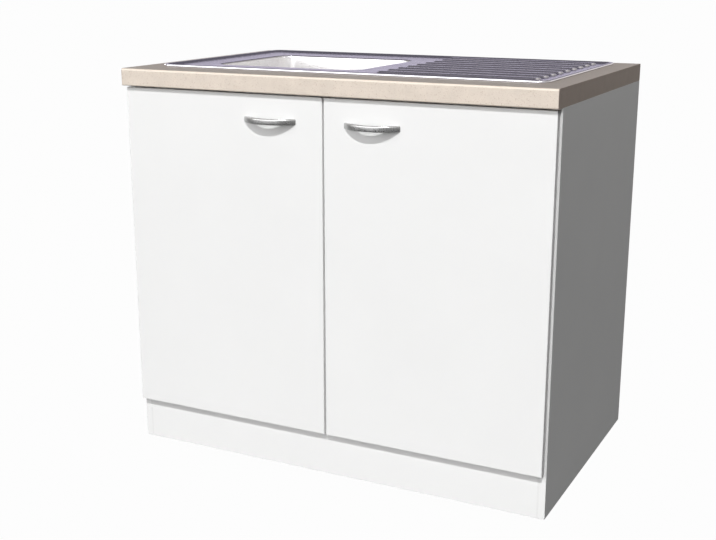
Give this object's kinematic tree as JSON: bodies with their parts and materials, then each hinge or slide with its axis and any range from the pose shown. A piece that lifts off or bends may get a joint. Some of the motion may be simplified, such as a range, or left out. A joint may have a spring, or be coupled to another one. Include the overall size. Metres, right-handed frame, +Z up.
{
  "type": "kitchen sink base unit",
  "caption": "Kitchen sink base unit with hinged doors, bow handles, laminate worktop and an inset steel sink with bowl, ribbed drainer, lift-out basket strainer and trap.",
  "frame": {"origin": "on the floor under the middle of the overall box, handles included", "axes": "+X to the right seen from the front, +Y towards the wall, +Z up"},
  "size_m": [1, 0.6495, 0.887],
  "materials": {
    "board_white": "white melamine-faced chipboard, satin",
    "worktop_laminate": "beige speckled laminate, fine grain",
    "worktop_edging": "beige speckled edging",
    "sink_steel": "satin stainless steel",
    "satin_steel": "satin nickel",
    "nickel_steel": "nickel plated, bright",
    "zinc_steel": "zinc plated",
    "white_plastic": "white polypropylene",
    "black_rubber": "matt",
    "clear_buffer": "clear polyurethane"
  },
  "bodies": {
    "cabinet": {"back_bottom_rail": "board_white", "back_top_rail": "board_white", "bottom_panel": "board_white", "cam_bolts": "zinc_steel", "cam_locks": "zinc_steel", "front_top_rail": "board_white", "hinge_arms": "nickel_steel", "hinge_clamp_screws": "zinc_steel", "hinge_mount_plates": "nickel_steel", "hinge_plate_screws": "zinc_steel", "overflow_cover": "sink_steel", "overflow_pipe": "white_plastic", "overflow_screw": "zinc_steel", "overflow_socket": "white_plastic", "plinth_board": "board_white", "side_panel_left": "board_white", "side_panel_right": "board_white", "sink": "sink_steel", "sink_clip_screws": "zinc_steel", "sink_clips": "zinc_steel", "sink_seal": "black_rubber", "trap_bottle": "white_plastic", "trap_cleaning_cup": "white_plastic", "trap_coupling_nuts": "white_plastic", "trap_inlet_pipe": "white_plastic", "trap_outlet_pipe": "white_plastic", "trap_top_nut": "white_plastic", "waste_lock_nut": "white_plastic", "waste_strainer_body": "sink_steel", "waste_washer": "black_rubber", "worktop": "worktop_laminate", "worktop_bracket_screws": "zinc_steel", "worktop_brackets": "zinc_steel", "worktop_end_strip_left": "worktop_edging", "worktop_end_strip_right": "worktop_edging"},
    "left_door": {"door_buffers_left": "clear_buffer", "door_left": "board_white", "handle_left": "satin_steel", "handle_screws_left": "zinc_steel", "hinge_cup_screws_left": "zinc_steel", "hinge_cups_left": "nickel_steel", "hinge_pins_left": "nickel_steel"},
    "right_door": {"door_buffers_right": "clear_buffer", "door_right": "board_white", "handle_right": "satin_steel", "handle_screws_right": "zinc_steel", "hinge_cup_screws_right": "zinc_steel", "hinge_cups_right": "nickel_steel", "hinge_pins_right": "nickel_steel"},
    "basket": {"basket_stopper": "black_rubber", "strainer_basket": "sink_steel"}
  },
  "joints": [
    {"name": "left_door_hinge", "type": "hinge", "parent": "cabinet", "child": "left_door", "pos_m": [-0.4882, -0.29225, 0.4705], "axis": [0, 0, -1], "range_deg": [0, 95]},
    {"name": "right_door_hinge", "type": "hinge", "parent": "cabinet", "child": "right_door", "pos_m": [0.4882, -0.29225, 0.4705], "axis": [0, 0, 1], "range_deg": [0, 95]},
    {"name": "basket_lift", "type": "slide", "parent": "cabinet", "child": "basket", "axis": [0, 0, 1], "range_m": [0, 0.22]}
  ]
}
